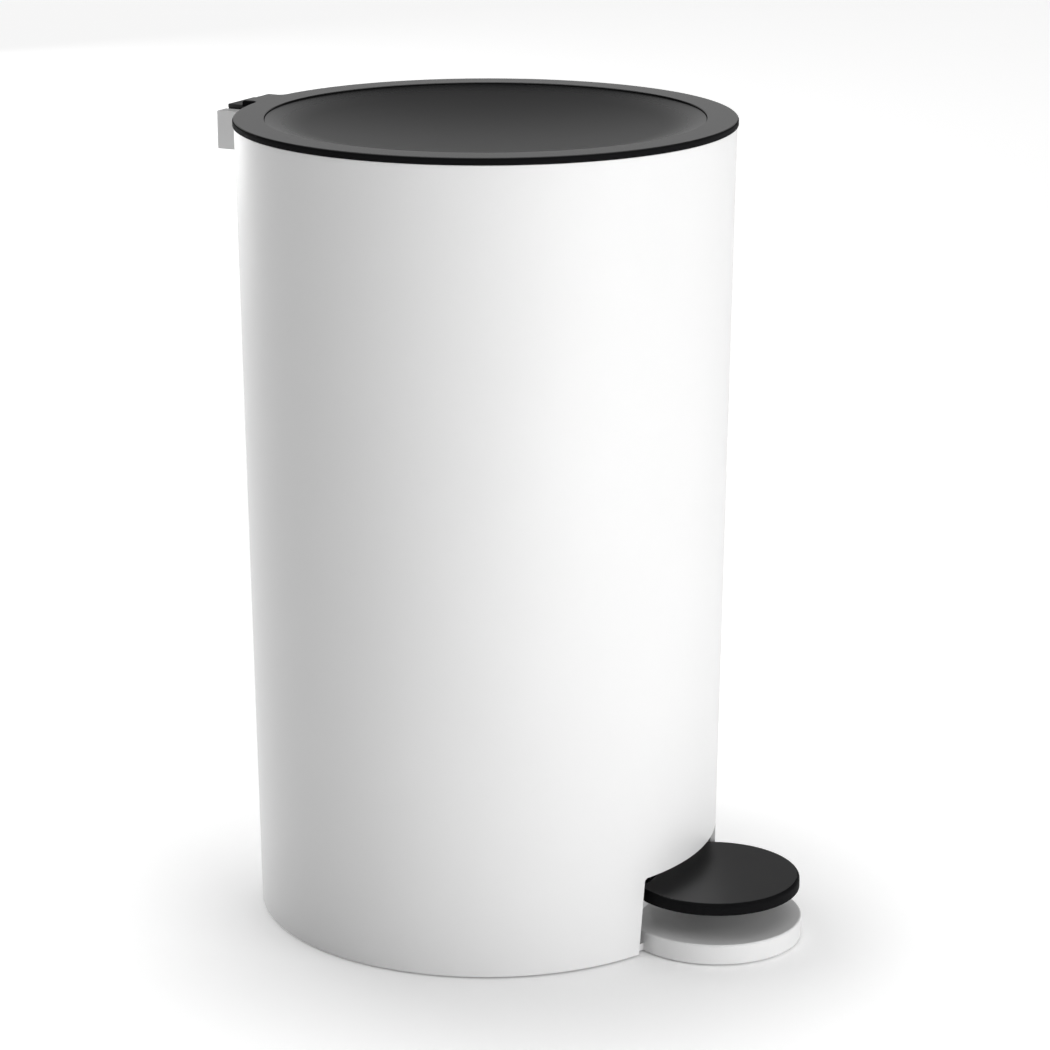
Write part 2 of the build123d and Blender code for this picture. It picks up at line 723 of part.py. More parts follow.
# Pedal: round plate, ribbed below, with a tail that lies on the lever.
pedal_radius = pedal_diameter / 2
pedal_screw_places = [axle_distance - pedal_screw_spacing / 2, axle_distance + pedal_screw_spacing / 2]
pedal_shoulder = pedal_x - pedal_setback
stop_x = shell_base_radius + stop_outreach
with BuildPart() as pedal_plate:
    with BuildSketch(Plane.XY.offset(pedal_underside)) as pedal_outline:
        with Locations((pedal_x, 0)):
            Circle(pedal_radius)
        with Locations((pedal_shoulder, 0)):
            Rectangle(pedal_radius, pedal_diameter, align=(Align.MAX, Align.CENTER), mode=Mode.SUBTRACT)
        with Locations((pedal_tail_end, 0)):
            Rectangle(pedal_x - pedal_tail_end, lever_width, align=(Align.MIN, Align.CENTER))
        shoulder = pedal_outline.vertices().filter_by(lambda v: abs(v.X - pedal_shoulder) < fixed_fit)
        fillet(shoulder, pedal_blend)
    extrude(amount=pedal_thickness)
    fillet(pedal_plate.edges().group_by(Axis.Z)[-1], pedal_edge_round)
    with BuildSketch(Plane.XY.offset(pedal_underside)):
        with Locations((pedal_x, 0)):
            Circle(pedal_radius - pedal_rim)
            Rectangle(pedal_diameter, pedal_rib, mode=Mode.SUBTRACT)
            Rectangle(pedal_rib, pedal_diameter, mode=Mode.SUBTRACT)
        with Locations((stop_x, 0)):
            Circle(stop_radius + pedal_rib, mode=Mode.SUBTRACT)
        with Locations((pedal_tail_end, 0)):
            Rectangle(pedal_shoulder + pedal_rim - pedal_tail_end, pedal_diameter,
                      align=(Align.MIN, Align.CENTER), mode=Mode.SUBTRACT)
    extrude(amount=pedal_pocket, mode=Mode.SUBTRACT)
    with BuildSketch(Plane.XY.offset(pedal_underside)):
        with Locations(*[(x, 0) for x in pedal_screw_places]):
            Circle(screw_radius + fixed_fit)
        with Locations((stop_x, 0)):
            Circle(buffer_stem_radius + fixed_fit)
    extrude(amount=pedal_screw_length - lever_sheet, mode=Mode.SUBTRACT)
pedal_plate.part.label = "pedal_plate"
export_step(pedal_plate.part, "parts/pedal_plate.step")


# Rubber stop under the pedal; it meets the foot at the end of the stroke.
with BuildPart() as pedal_buffer:
    with BuildSketch(Plane.XY.offset(pedal_underside)):
        with Locations((stop_x, 0)):
            Circle(stop_radius)
    extrude(amount=-stop_height)
    fillet(pedal_buffer.edges().group_by(Axis.Z)[0], stop_round)
    with BuildSketch(Plane.XY.offset(pedal_underside)):
        with Locations((stop_x, 0)):
            Circle(buffer_stem_radius)
    extrude(amount=pedal_screw_length - lever_sheet)
pedal_buffer.part.label = "pedal_buffer"
export_step(pedal_buffer.part, "parts/pedal_buffer.step")


# Lever: a pressed steel channel, open below, forked at the rear for the push rod.
lever_rear = rod_foot.X - lever_end
web_underside = pedal_underside - lever_sheet
lever_bend = pedal_tail_end - lever_sheet
lever_rear_top = pedal_underside - lever_rear_drop
with BuildPart() as pedal_lever:
    with BuildSketch(Plane.XZ) as lever_side:
        with BuildLine():
            Polyline(
                (lever_front, pedal_underside),
                (lever_bend, pedal_underside),
                (lever_rear, lever_rear_top),
                (lever_rear, lever_rear_top - lever_rear_depth),
                (axle_distance - ear_radius, pedal_underside - lever_depth),
                (axle_distance + ear_radius, pedal_underside - lever_depth),
                (lever_front, pedal_underside - lever_front_depth),
                close=True,
            )
        make_face()
        fillet(lever_side.vertices().group_by(Axis.X)[0], lever_end_round)
    extrude(amount=lever_half, both=True)
    with BuildSketch(Plane.XZ):
        with BuildLine():
            Polyline(
                (lever_front, web_underside),
                (lever_bend, web_underside),
                (lever_rear, lever_rear_top - lever_sheet),
                (lever_rear, 0),
                (lever_front, 0),
                close=True,
            )
        make_face()
        with Locations((lever_rear, 0)):
            Rectangle(lever_fork, pedal_underside, align=(Align.MIN, Align.MIN))
    extrude(amount=lever_half - lever_sheet, both=True, mode=Mode.SUBTRACT)
    with BuildSketch(Plane.XZ):
        with Locations((axle_distance, axle_height)):
            Circle(axle_radius + bush_wall + 2 * fixed_fit)
        with Locations((rod_foot.X - lever_slot_travel / 2 + lever_slot_play, rod_foot.Z)):
            SlotCenterToCenter(lever_slot_travel, rod_pin_diameter + 2 * lever_slot_play)
    extrude(amount=lever_half, both=True, mode=Mode.SUBTRACT)
    with BuildSketch(Plane.XY.offset(web_underside)):
        with Locations(*[(x, 0) for x in pedal_screw_places]):
            Circle(screw_radius + screw_clearance)
    extrude(amount=lever_sheet, mode=Mode.SUBTRACT)
pedal_lever.part.label = "pedal_lever"
export_step(pedal_lever.part, "parts/pedal_lever.step")


# Two screws from inside the channel up into the pedal's tail.
with BuildPart() as pedal_screws:
    with BuildSketch(Plane.XY.offset(web_underside)):
        with Locations(*[(x, 0) for x in pedal_screw_places]):
            Circle(screw_head_radius)
    extrude(amount=-screw_head)
    with BuildSketch(Plane.XY.offset(web_underside)):
        with Locations(*[(x, 0) for x in pedal_screw_places]):
            Circle(screw_radius)
    extrude(amount=pedal_screw_length)
pedal_screws.part.label = "pedal_screws"
export_step(pedal_screws.part, "parts/pedal_screws.step")


# Flanged bushes in the lever's cheeks; they turn on the axle.
bush_seat = lever_half + bush_side_gap
with BuildPart() as lever_bushes:
    for side in (-1, 1):
        with BuildSketch(Plane.XZ.offset(side * bush_seat)):
            with Locations((axle_distance, axle_height)):
                Circle(bush_flange_radius)
                Circle(axle_radius + running_fit, mode=Mode.SUBTRACT)
        extrude(amount=side * bush_flange)
        with BuildSketch(Plane.XZ.offset(side * bush_seat)):
            with Locations((axle_distance, axle_height)):
                Circle(axle_radius + bush_wall + fixed_fit)
                Circle(axle_radius + running_fit, mode=Mode.SUBTRACT)
        extrude(amount=-side * (lever_sheet + bush_side_gap))
lever_bushes.part.label = "lever_bushes"
export_step(lever_bushes.part, "parts/lever_bushes.step")


# Steel axle across the two ears.
clip_face = ear_inner + ear_thickness
axle_half = clip_face + 2 * clip_thickness
with BuildPart() as pedal_axle:
    with BuildSketch(Plane.XZ):
        with Locations((axle_distance, axle_height)):
            Circle(axle_radius)
    extrude(amount=axle_half, both=True)
    chamfer(pedal_axle.edges().filter_by(GeomType.CIRCLE), axle_chamfer)
pedal_axle.part.label = "pedal_axle"
export_step(pedal_axle.part, "parts/pedal_axle.step")


# Push-on clips at both ends of the axle.
with BuildPart() as axle_clips:
    for side in (-1, 1):
        with BuildSketch(Plane.XZ.offset(side * clip_face)):
            with Locations((axle_distance, axle_height)):
                Circle(clip_radius)
                Circle(axle_radius + fixed_fit, mode=Mode.SUBTRACT)
        extrude(amount=side * clip_thickness)
axle_clips.part.label = "axle_clips"
export_step(axle_clips.part, "parts/axle_clips.step")


# Inner bucket: tapered like the shell, with a flat back for the crank and the rod,
# hung by its flange on the ledge of the shell and lifted out by its raised rim.
flange_radius = shell_inside(ledge_top) - bucket_flange_gap
bucket_radius = flange_radius - bucket_flange_width
bucket_top = ledge_top + bucket_flange + bucket_collar
bucket_taper = shell_slope + tan(radians(bucket_draft))
bucket_narrowing = bucket_taper * (bucket_top - bucket_bottom)
crank_tip = hinge_x + crank_length + crank_width / 2
bucket_flat = crank_tip + bucket_crank_gap
with BuildPart() as bucket_hollow:
    inner_radius = bucket_radius - bucket_wall
    inner_flat = bucket_flat + bucket_wall
    inner_floor = bucket_bottom + bucket_wall
    with BuildSketch(Plane.XZ) as hollow_section:
        with BuildLine():
            Polyline(
                (0, inner_floor),
                (inner_radius - bucket_narrowing, inner_floor),
                (inner_radius, bucket_top),
                (0, bucket_top),
                close=True,
            )
        make_face()
        hollow_corner = hollow_section.vertices().group_by(Axis.Y)[0].sort_by(Axis.X)[-1]
        fillet(hollow_corner, bucket_floor_round - bucket_wall)
    revolve(axis=Axis.Z)
    with BuildSketch(Plane.XZ):
        with BuildLine():
            Polyline(
                (inner_flat, bucket_top),
                (inner_flat + bucket_narrowing, inner_floor),
                (-lid_radius, inner_floor),
                (-lid_radius, bucket_top),
                close=True,
            )
        make_face()
    extrude(amount=lid_radius, both=True, mode=Mode.SUBTRACT)

with BuildPart() as inner_bucket:
    with BuildSketch(Plane.XZ) as bucket_section:
        with BuildLine():
            Polyline(
                (0, bucket_bottom),
                (bucket_radius - bucket_narrowing, bucket_bottom),
                (bucket_radius, bucket_top),
                (0, bucket_top),
                close=True,
            )
        make_face()
        bucket_corner = bucket_section.vertices().group_by(Axis.Y)[0].sort_by(Axis.X)[-1]
        fillet(bucket_corner, bucket_floor_round)
    revolve(axis=Axis.Z)
    with BuildSketch(Plane.XY.offset(ledge_top)):
        Circle(flange_radius)
    extrude(amount=bucket_flange)
    with BuildSketch(Plane.XZ):
        with BuildLine():
            Polyline(
                (bucket_flat, bucket_top),
                (bucket_flat + bucket_narrowing, bucket_bottom),
                (-lid_radius, bucket_bottom),
                (-lid_radius, bucket_top),
                close=True,
            )
        make_face()
    extrude(amount=lid_radius, both=True, mode=Mode.SUBTRACT)
    add(bucket_hollow.part, mode=Mode.SUBTRACT)
inner_bucket.part.label = "inner_bucket"
export_step(inner_bucket.part, "parts/inner_bucket.step")
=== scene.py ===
import math
import bmesh
import bpy
from mathutils import Matrix, Vector


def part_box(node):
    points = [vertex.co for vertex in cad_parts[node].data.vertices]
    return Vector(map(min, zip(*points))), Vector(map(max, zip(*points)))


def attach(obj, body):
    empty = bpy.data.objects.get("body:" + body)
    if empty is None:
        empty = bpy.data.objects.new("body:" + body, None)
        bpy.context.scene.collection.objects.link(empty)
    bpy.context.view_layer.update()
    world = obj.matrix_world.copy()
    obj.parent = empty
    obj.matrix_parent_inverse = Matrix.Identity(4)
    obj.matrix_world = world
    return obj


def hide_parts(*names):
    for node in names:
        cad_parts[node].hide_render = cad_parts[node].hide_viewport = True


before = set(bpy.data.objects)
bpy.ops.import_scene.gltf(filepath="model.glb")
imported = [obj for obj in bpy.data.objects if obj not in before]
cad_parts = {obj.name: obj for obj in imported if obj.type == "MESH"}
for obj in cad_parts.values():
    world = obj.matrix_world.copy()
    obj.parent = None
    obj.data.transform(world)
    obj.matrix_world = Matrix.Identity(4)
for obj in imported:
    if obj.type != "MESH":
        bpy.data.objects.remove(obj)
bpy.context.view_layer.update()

# Base of the bin: one white polypropylene moulding with the round foot under the
# pedal, the closed bay behind the notch and two ears for the pedal's axle. It is
# screwed up into the shell from below.
mm = 0.001


def linear(hex_colour):
    """sRGB hex colour as linear RGBA."""
    parts = [int(hex_colour[i:i + 2], 16) / 255 for i in (1, 3, 5)]
    return [c / 12.92 if c <= 0.04045 else ((c + 0.055) / 1.055) ** 2.4 for c in parts] + [1.0]


def node(material, kind, inputs=None, **settings):
    """Adds a shader node to a material or world, with its settings and its input values or links."""
    made = material.node_tree.nodes.new("ShaderNode" + kind)
    for name, value in settings.items():
        setattr(made, name, value)
    for name, value in (inputs or {}).items():
        if isinstance(value, bpy.types.NodeSocket):
            material.node_tree.links.new(value, made.inputs[name])
        else:
            made.inputs[name].default_value = value
    return made


def empty_material(name):
    """A material with no nodes yet."""
    material = bpy.data.materials.new(name)
    material.use_nodes = True
    material.node_tree.nodes.clear()
    return material


# Injection-moulded white polypropylene with a satin polish: a soft broad sheen, a
# faint orange-peel ripple and slow drifts of tone and polish where the melt flowed.
white_polypropylene = empty_material("white_polypropylene_satin")
place = node(white_polypropylene, "TexCoord").outputs["Object"]
flow_size, ripple_size, polish_size = 70 * mm, 2.5 * mm, 18 * mm
flow = node(white_polypropylene, "TexNoise", {"Vector": place, "Scale": 1 / flow_size, "Detail": 3.0})
tone = node(white_polypropylene, "Mix", {"Factor": flow.outputs["Fac"], "A": linear("#d6d6d6"),
                                         "B": linear("#dadada")}, data_type="RGBA")
polish = node(white_polypropylene, "TexNoise", {"Vector": place, "Scale": 1 / polish_size, "Detail": 4.0})
sheen = node(white_polypropylene, "MapRange", {"Value": polish.outputs["Fac"], "To Min": 0.3,
                                               "To Max": 0.38})
ripple = node(white_polypropylene, "TexNoise", {"Vector": place, "Scale": 1 / ripple_size, "Detail": 1.0})
skin = node(white_polypropylene, "Bump", {"Height": ripple.outputs["Fac"], "Strength": 0.12,
                                          "Distance": 0.05 * mm})
shader = node(white_polypropylene, "BsdfPrincipled", {
    "Base Color": tone.outputs["Result"], "Roughness": sheen.outputs["Result"], "IOR": 1.49,
    "Normal": skin.outputs["Normal"]})
node(white_polypropylene, "OutputMaterial", {"Surface": shader.outputs["BSDF"]})


def make_piece(name, bm, material, body, slot, *stands_for, flat_faces=True):
    """Makes a finished bmesh an object of the bin that rides on its body and stands for its solids."""
    mesh = bpy.data.meshes.new(name)
    bm.to_mesh(mesh)
    bm.free()
    mesh.materials.append(material)
    mesh.shade_smooth()
    mesh.set_sharp_from_angle(angle=math.radians(38))
    piece = bpy.data.objects.new(name, mesh)
    bpy.context.scene.collection.objects.link(piece)
    if flat_faces:
        flats = piece.modifiers.new("flat_faces_stay_flat", "WEIGHTED_NORMAL")
        flats.weight, flats.keep_sharp = 100, True
    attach(piece, body)
    if stands_for:
        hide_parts(*stands_for)
    return piece


def sharp_edges(bm):
    """Edges between two faces that turn by more than 40 degrees."""
    return [e for e in bm.edges if len(e.link_faces) == 2 and e.calc_face_angle() > math.radians(40)]


def softened(solid, width):
    """A copy of a solid as one merged mesh, its sharp edges rounded as a mould or press leaves them."""
    bm = bmesh.new()
    bm.from_mesh(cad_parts[solid].data)
    bmesh.ops.remove_doubles(bm, verts=bm.verts, dist=0.001 * mm)
    bmesh.ops.dissolve_limit(bm, angle_limit=math.radians(0.4), verts=bm.verts, edges=bm.edges)
    bmesh.ops.bevel(bm, geom=sharp_edges(bm), offset=width, segments=2, profile=0.5,
                    affect="EDGES", material=-1, clamp_overlap=True)
    return bm


make_piece("base_and_foot", softened("base_plate", 0.3 * mm), white_polypropylene, "bin", "white_plastic",
           "base_plate")

# Rubber ring in a groove under the base and the pad under the foot: pressed in,
# they lift the white plastic one millimetre off the floor.

# Black rubber: a dull dark skin with a faint grey bloom and a fine dry grain.
rubber = empty_material("black_rubber")
place = node(rubber, "TexCoord").outputs["Object"]
bloom_size, skin_size = 9 * mm, 0.7 * mm
bloom = node(rubber, "TexNoise", {"Vector": place, "Scale": 1 / bloom_size, "Detail": 4.0})
tone = node(rubber, "Mix", {"Factor": bloom.outputs["Fac"], "A": linear("#171717"), "B": linear("#242423")},
            data_type="RGBA")
fine = node(rubber, "TexNoise", {"Vector": place, "Scale": 1 / skin_size, "Detail": 2.0})
skin = node(rubber, "Bump", {"Height": fine.outputs["Fac"], "Strength": 0.3, "Distance": 0.05 * mm})
shader = node(rubber, "BsdfPrincipled", {
    "Base Color": tone.outputs["Result"], "Roughness": 0.75, "IOR": 1.52, "Normal": skin.outputs["Normal"]})
node(rubber, "OutputMaterial", {"Surface": shader.outputs["BSDF"]})

make_piece("floor_ring", softened("base_ring", 0.4 * mm), rubber, "bin", "rubber", "base_ring")
make_piece("floor_pad", softened("foot_pad", 0.4 * mm), rubber, "bin", "rubber", "foot_pad")

# Axle of the pedal with its clips and the lever: zinc-plated steel. The lever is
# pressed from sheet to a channel and turns on two flanged nylon bushes.

# Zinc-plated steel: cold pale metal, with a faint spangle and drawn streaks that
# spread its glints.
zinc_steel = empty_material("zinc_plated_steel")
place = node(zinc_steel, "TexCoord").outputs["Object"]
spangle_size, draw_size = 6 * mm, 0.8 * mm
spangle = node(zinc_steel, "TexVoronoi", {"Vector": place, "Scale": 1 / spangle_size})
tone = node(zinc_steel, "Mix", {"Factor": spangle.outputs["Distance"], "A": linear("#b9bcc0"),
                                "B": linear("#c9c8c2")}, data_type="RGBA")
drawn = node(zinc_steel, "Mapping", {"Vector": place, "Scale": (0.05, 1.0, 1.0)})
streak = node(zinc_steel, "TexNoise", {"Vector": drawn.outputs["Vector"], "Scale": 1 / draw_size,
                                       "Detail": 2.0})
sheen = node(zinc_steel, "MapRange", {"Value": streak.outputs["Fac"], "To Min": 0.28, "To Max": 0.46})
skin = node(zinc_steel, "Bump", {"Height": streak.outputs["Fac"], "Strength": 0.1, "Distance": 0.03 * mm})
shader = node(zinc_steel, "BsdfPrincipled", {
    "Base Color": tone.outputs["Result"], "Roughness": sheen.outputs["Result"], "Metallic": 1.0,
    "Normal": skin.outputs["Normal"]})
node(zinc_steel, "OutputMaterial", {"Surface": shader.outputs["BSDF"]})

# Natural nylon: warm off-white, faintly clouded, with a soft waxy sheen.
nylon = empty_material("natural_nylon")
place = node(nylon, "TexCoord").outputs["Object"]
cloud_size = 4 * mm
cloud = node(nylon, "TexNoise", {"Vector": place, "Scale": 1 / cloud_size, "Detail": 2.0})
tone = node(nylon, "Mix", {"Factor": cloud.outputs["Fac"], "A": linear("#d8d3c4"), "B": linear("#e2decf")},
            data_type="RGBA")
shader = node(nylon, "BsdfPrincipled", {
    "Base Color": tone.outputs["Result"], "Roughness": 0.45, "IOR": 1.53})
node(nylon, "OutputMaterial", {"Surface": shader.outputs["BSDF"]})

make_piece("axle_pin", softened("pedal_axle", 0.1 * mm), zinc_steel, "bin", "zinc_steel", "pedal_axle")
make_piece("axle_push_clips", softened("axle_clips", 0.2 * mm), zinc_steel, "bin", "zinc_steel",
           "axle_clips")
make_piece("lever_channel", softened("pedal_lever", 0.3 * mm), zinc_steel, "pedal", "zinc_steel",
           "pedal_lever")
make_piece("lever_bush_pair", softened("lever_bushes", 0.2 * mm), nylon, "pedal", "nylon", "lever_bushes")

# Pedal: charcoal polypropylene plate, round in front, with a ribbed underside and a
# tail screwed to the lever. A rubber stop is pressed into its boss from below.

# Charcoal polypropylene from a spark-eroded mould: an even matt grain that turns
# pale at low angles. The real grain is about 0.1 mm and is drawn coarser to show.
charcoal_polypropylene = empty_material("charcoal_polypropylene_grained")
place = node(charcoal_polypropylene, "TexCoord").outputs["Object"]
grain_size, cloud_size = 0.55 * mm, 40 * mm
grain = node(charcoal_polypropylene, "TexNoise", {"Vector": place, "Scale": 1 / grain_size, "Detail": 2.0})
cloud = node(charcoal_polypropylene, "TexNoise", {"Vector": place, "Scale": 1 / cloud_size, "Detail": 3.0})
tone = node(charcoal_polypropylene, "Mix", {"Factor": cloud.outputs["Fac"], "A": linear("#1a1a1b"),
                                            "B": linear("#1f1f20")}, data_type="RGBA")
sheen = node(charcoal_polypropylene, "MapRange", {"Value": cloud.outputs["Fac"], "To Min": 0.36,
                                                  "To Max": 0.42})
skin = node(charcoal_polypropylene, "Bump", {"Height": grain.outputs["Fac"], "Strength": 0.25,
                                             "Distance": 0.04 * mm})
shader = node(charcoal_polypropylene, "BsdfPrincipled", {
    "Base Color": tone.outputs["Result"], "Roughness": sheen.outputs["Result"], "IOR": 1.49,
    "Normal": skin.outputs["Normal"]})
node(charcoal_polypropylene, "OutputMaterial", {"Surface": shader.outputs["BSDF"]})

pedal = make_piece("pedal", softened("pedal_plate", 0.3 * mm), charcoal_polypropylene, "pedal",
                   "charcoal_plastic", "pedal_plate")
make_piece("pedal_stop", softened("pedal_buffer", 0.2 * mm), rubber, "pedal", "rubber", "pedal_buffer")

# The sides of the pedal and the lid take a rougher, almost unglossy copy of the charcoal whose
# colour is painted darker: painted shade that keeps them almost black where the faces above them shine.
charcoal_with_painted_side_shade = charcoal_polypropylene.copy()
charcoal_with_painted_side_shade.name = "charcoal_polypropylene_side_painted_shade"
for shading in charcoal_with_painted_side_shade.node_tree.nodes:
    if shading.type == "BSDF_PRINCIPLED":
        charcoal_with_painted_side_shade.node_tree.links.remove(shading.inputs["Roughness"].links[0])
        shading.inputs["Roughness"].default_value = 0.7
        shading.inputs["Specular IOR Level"].default_value = 0.06
    # The darker colour of the sides is painted shade.
    if shading.type == "MIX":
        shading.inputs["A"].default_value = linear("#0c0c0d")
        shading.inputs["B"].default_value = linear("#111112")
level_normal = 0.94


def paint_side_shade(piece, low, high):
    """Gives a piece's faces between two heights the rougher copy with painted shade, unless they lie almost
    level.
    """
    piece.data.materials.append(charcoal_with_painted_side_shade)
    for face in piece.data.polygons:
        if low < face.center.z < high and abs(face.normal.z) < level_normal:
            face.material_index = 1


pedal_low, pedal_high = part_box("pedal_plate")
# The pedal's sides get the painted shade.
paint_side_shade(pedal, pedal_low.z, pedal_high.z)

# Screws of the bin: zinc-plated pan heads with a cross recess, two in the lever,
# four up through the base, two through the rear wall and two under the lid.
head_radius, head_height, shank_radius = 3.4 * mm, 1.9 * mm, 1.6 * mm
crown_round, arm_half, arm_length = 0.9 * mm, 0.45 * mm, 1.9 * mm
recess_depth, recess_taper = 1.1 * mm, 0.75


def with_borders(faces):
    """Faces together with their edges and corners, each listed once."""
    edges = dict.fromkeys(e for f in faces for e in f.edges)
    corners = dict.fromkeys(v for f in faces for v in f.verts)
    return [*faces, *edges, *corners]


def make_screws(name, places, shank_length, body, solid):
    """Pan-head screws, one at each place; +Z of a place points along the shank from the head's seat."""
    bm = bmesh.new()
    for matrix in places:
        screw = bmesh.new()
        bmesh.ops.create_cone(screw, cap_ends=True, segments=40, radius1=head_radius, radius2=head_radius,
                              depth=head_height)
        bmesh.ops.translate(screw, verts=screw.verts, vec=(0, 0, -head_height / 2))
        crown = [e for e in sharp_edges(screw) if all(v.co.z < -head_height / 2 for v in e.verts)]
        bmesh.ops.bevel(screw, geom=crown, offset=crown_round, segments=5, profile=0.5, affect="EDGES",
                        material=-1)
        for axis in ((1, 0, 0), (0, 1, 0)):
            for reach in (-arm_length, -arm_half, arm_half, arm_length):
                cap = [f for f in screw.faces if f.normal.z < -0.99]
                bmesh.ops.bisect_plane(screw, geom=with_borders(cap), dist=0.001 * mm,
                                       plane_co=Vector(axis) * reach, plane_no=axis)
        cross = []
        for face in screw.faces:
            x, y = (abs(c) for c in face.calc_center_median().xy)
            if face.normal.z < -0.99 and max(x, y) < arm_length and min(x, y) < arm_half:
                cross.append(face)
        sunk = bmesh.ops.extrude_face_region(screw, geom=cross)
        sunk_verts = [g for g in sunk["geom"] if isinstance(g, bmesh.types.BMVert)]
        bmesh.ops.delete(screw, geom=cross, context="FACES")
        bmesh.ops.translate(screw, verts=sunk_verts, vec=(0, 0, recess_depth))
        bmesh.ops.scale(screw, verts=sunk_verts, vec=(recess_taper, recess_taper, 1))
        bmesh.ops.create_cone(screw, cap_ends=True, segments=24, radius1=shank_radius, radius2=shank_radius,
                              depth=shank_length, matrix=Matrix.Translation((0, 0, shank_length / 2)))
        bmesh.ops.transform(screw, matrix=matrix, verts=screw.verts)
        loose = bpy.data.meshes.new("screw")
        screw.to_mesh(loose)
        screw.free()
        bm.from_mesh(loose)
        bpy.data.meshes.remove(loose)
    make_piece(name, bm, zinc_steel, body, "zinc_steel", solid)


lever_screw_low, lever_screw_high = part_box("pedal_screws")
lever_web = lever_screw_low.z + head_height
lever_places = []
for screw_x in (lever_screw_low.x + head_radius, lever_screw_high.x - head_radius):
    lever_places.append(Matrix.Translation((screw_x, 0, lever_web)))
make_screws("lever_screws", lever_places, 6 * mm, "pedal", "pedal_screws")

# Shell: the tall white body, a plain cone of moulded polypropylene 2.5 mm thick, open
# at both ends, with the pedal's notch at its front foot and a window for the hinge.
shell_low, shell_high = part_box("outer_body")
shell_base_radius, shell_top_radius, shell_wall = 117.3 * mm, shell_high.y, 2.5 * mm
notch_height, notch_base_half, notch_top_half, notch_round = 40.5 * mm, 46 * mm, 43.2 * mm, 2 * mm
window_half, window_sill, rim_round = 13.4 * mm, 374.1 * mm, 0.7 * mm


def cut_opening(bm, sides, direction):
    """Takes a convex opening, given as sides (point, outward normal), out of the wall to +X or -X."""
    def facing(face):
        return face.calc_center_median().x * direction > 0
    for point, normal in sides:
        wall = [f for f in bm.faces if facing(f)]
        bmesh.ops.bisect_plane(bm, geom=with_borders(wall), dist=0.001 * mm, plane_co=point, plane_no=normal)
    inside = []
    for face in filter(facing, bm.faces):
        middle = face.calc_center_median()
        if all((middle - Vector(p)).dot(Vector(n)) < 0 for p, n in sides):
            inside.append(face)
    bmesh.ops.delete(bm, geom=inside, context="FACES")


bm = bmesh.new()
foot_edge = bm.verts.new((shell_base_radius, 0, shell_low.z))
mouth_edge = bm.verts.new((shell_top_radius, 0, shell_high.z))
bm.edges.new((foot_edge, mouth_edge))
bmesh.ops.spin(bm, geom=bm.verts[:] + bm.edges[:], cent=(0, 0, 0), axis=(0, 0, 1), angle=2 * math.pi,
               steps=240, use_merge=True)
bmesh.ops.recalc_face_normals(bm, faces=bm.faces)
if bm.faces[0].normal.dot(bm.faces[0].calc_center_median()) < 0:
    bmesh.ops.reverse_faces(bm, faces=bm.faces)
lean = Vector((0, notch_height, notch_base_half - notch_top_half)).normalized()
corner_z = notch_height - notch_round
corner_y = notch_base_half - (notch_round + lean.z * corner_z) / lean.y
notch_sides = [((0, 0, notch_height), (0, 0, 1))]
for side in (-1, 1):
    notch_sides.append(((0, side * notch_base_half, 0), (0, side * lean.y, lean.z)))
    for share in (0.2, 0.4, 0.6, 0.8):
        outward = lean.lerp(Vector((0, 0, 1)), share).normalized()
        touch = Vector((0, corner_y, corner_z)) + outward * notch_round
        notch_sides.append(((0, side * touch.y, touch.z), (0, side * outward.y, outward.z)))
cut_opening(bm, notch_sides, 1)
cut_opening(bm, [((0, window_half, 0), (0, 1, 0)), ((0, -window_half, 0), (0, -1, 0)),
                 ((0, 0, window_sill), (0, 0, -1))], -1)
shell = make_piece("shell", bm, white_polypropylene, "bin", "white_plastic", "outer_body", flat_faces=False)
wall = shell.modifiers.new("wall", "SOLIDIFY")
wall.thickness, wall.offset, wall.use_even_offset = shell_wall, -1, True
rim = shell.modifiers.new("rim", "BEVEL")
rim.width, rim.segments, rim.limit_method, rim.angle_limit = rim_round, 4, "ANGLE", math.radians(50)
rim.harden_normals = True

# Ledge moulded inside the mouth of the shell, on which the bucket hangs, and the
# four bosses at its foot that take the screws of the base.
ledge_top, ledge_radius, ledge_depth, ledge_thickness = 388.5 * mm, 120.15 * mm, 5.5 * mm, 2.5 * mm
ledge_half_angle = math.radians(168.5)
ledge_toe = ledge_top - ledge_thickness - ledge_depth
bm = bmesh.new()
section = [bm.verts.new((r, 0, z)) for r, z in (
    (ledge_radius, ledge_top), (ledge_radius - ledge_depth, ledge_top),
    (ledge_radius - ledge_depth, ledge_top - ledge_thickness), (ledge_radius, ledge_toe))]
for a, b in zip(section, section[1:] + section[:1]):
    bm.edges.new((a, b))
bmesh.ops.rotate(bm, verts=bm.verts, matrix=Matrix.Rotation(-ledge_half_angle, 3, "Z"))
bmesh.ops.spin(bm, geom=bm.verts[:] + bm.edges[:], cent=(0, 0, 0), axis=(0, 0, 1),
               angle=2 * ledge_half_angle, steps=180)
bmesh.ops.holes_fill(bm, edges=[e for e in bm.edges if e.is_boundary])
boss_circle, boss_radius, boss_low, boss_height = 109.8 * mm, 4.5 * mm, 4.5 * mm, 18 * mm
boss_turns = (45, 135, 225, 315)
for turn in boss_turns:
    around = Matrix.Rotation(math.radians(turn), 4, "Z")
    centre = around @ Vector((boss_circle, 0, boss_low + boss_height / 2))
    bmesh.ops.create_cone(bm, cap_ends=True, segments=48, radius1=boss_radius, radius2=boss_radius,
                          depth=boss_height, matrix=Matrix.Translation(centre))
bmesh.ops.recalc_face_normals(bm, faces=bm.faces)
bmesh.ops.bevel(bm, geom=sharp_edges(bm), offset=0.4 * mm, segments=2, profile=0.5, affect="EDGES",
                material=-1)
make_piece("shell_ledge_and_bosses", bm, white_polypropylene, "bin", "white_plastic")

base_seat = 2.9 * mm
base_places = []
for turn in boss_turns:
    around = Matrix.Rotation(math.radians(turn), 4, "Z")
    base_places.append(around @ Matrix.Translation((boss_circle, 0, base_seat)))
make_screws("base_fixing_screws", base_places, 13 * mm, "bin", "base_screws")

